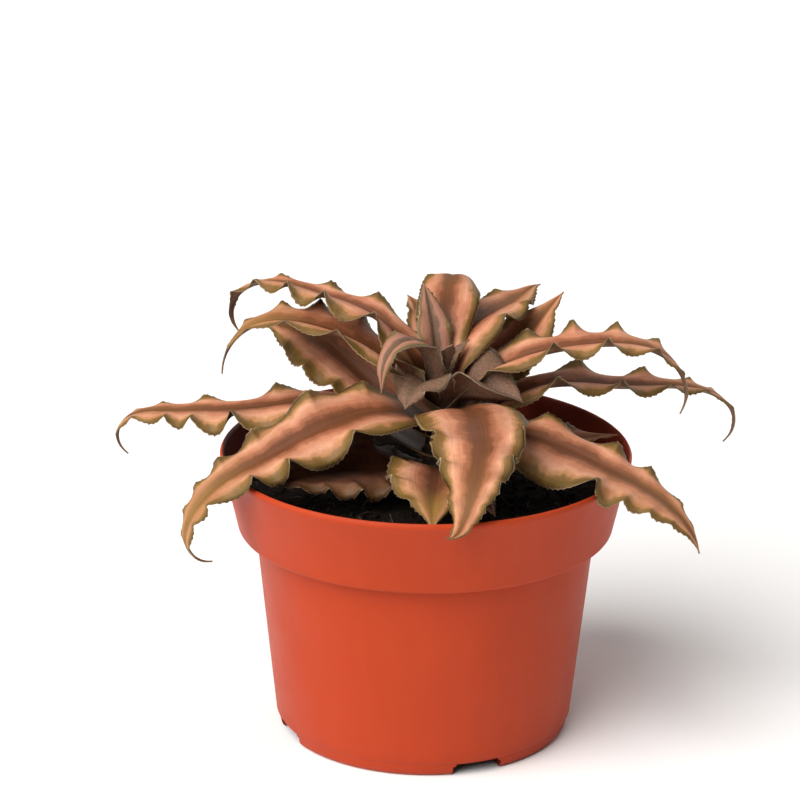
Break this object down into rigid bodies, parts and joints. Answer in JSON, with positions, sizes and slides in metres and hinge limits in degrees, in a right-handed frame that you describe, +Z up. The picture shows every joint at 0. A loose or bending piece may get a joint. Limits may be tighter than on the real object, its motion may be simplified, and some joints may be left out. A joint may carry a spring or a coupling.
{
  "type": "potted bromeliad",
  "caption": "Low rosette of pointed, wavy-edged pink leaves with darker midrib stripes, growing from dark mix in a flared orange plastic nursery pot.",
  "frame": {"origin": "centre of the pot's flat underside, on the surface that it stands on", "axes": "+Z up along the pot's axis; the face shown to the viewer looks along -Y; +X to the viewer's right"},
  "size_m": [0.2363, 0.1672, 0.1679],
  "materials": {
    "pot": "orange-red moulded polypropylene, satin",
    "potting_mix": "dark peat crumbs, matt",
    "stem": "woody brown stem, matt",
    "leaf": "pink blade with a brown midrib stripe and olive margins, soft sheen",
    "young_leaf": "grey-brown scaly young leaf, matt"
  },
  "bodies": {
    "root": {"pot": "pot", "potting_mix": "potting_mix", "stem": "stem", "leaf_01": "leaf", "leaf_02": "leaf", "leaf_03": "leaf", "leaf_04": "leaf", "leaf_05": "leaf", "leaf_06": "leaf", "leaf_07": "leaf", "leaf_08": "leaf", "leaf_09": "leaf", "leaf_10": "leaf", "leaf_11": "leaf", "leaf_12": "leaf", "leaf_13": "leaf", "leaf_14": "leaf", "leaf_15": "leaf", "leaf_16": "leaf", "leaf_17": "leaf", "leaf_18": "leaf", "leaf_19": "leaf", "leaf_20": "leaf", "leaf_21": "young_leaf", "leaf_22": "young_leaf", "leaf_23": "young_leaf", "leaf_24": "young_leaf", "leaf_25": "young_leaf", "leaf_26": "young_leaf", "leaf_27": "young_leaf"}
  },
  "joints": []
}
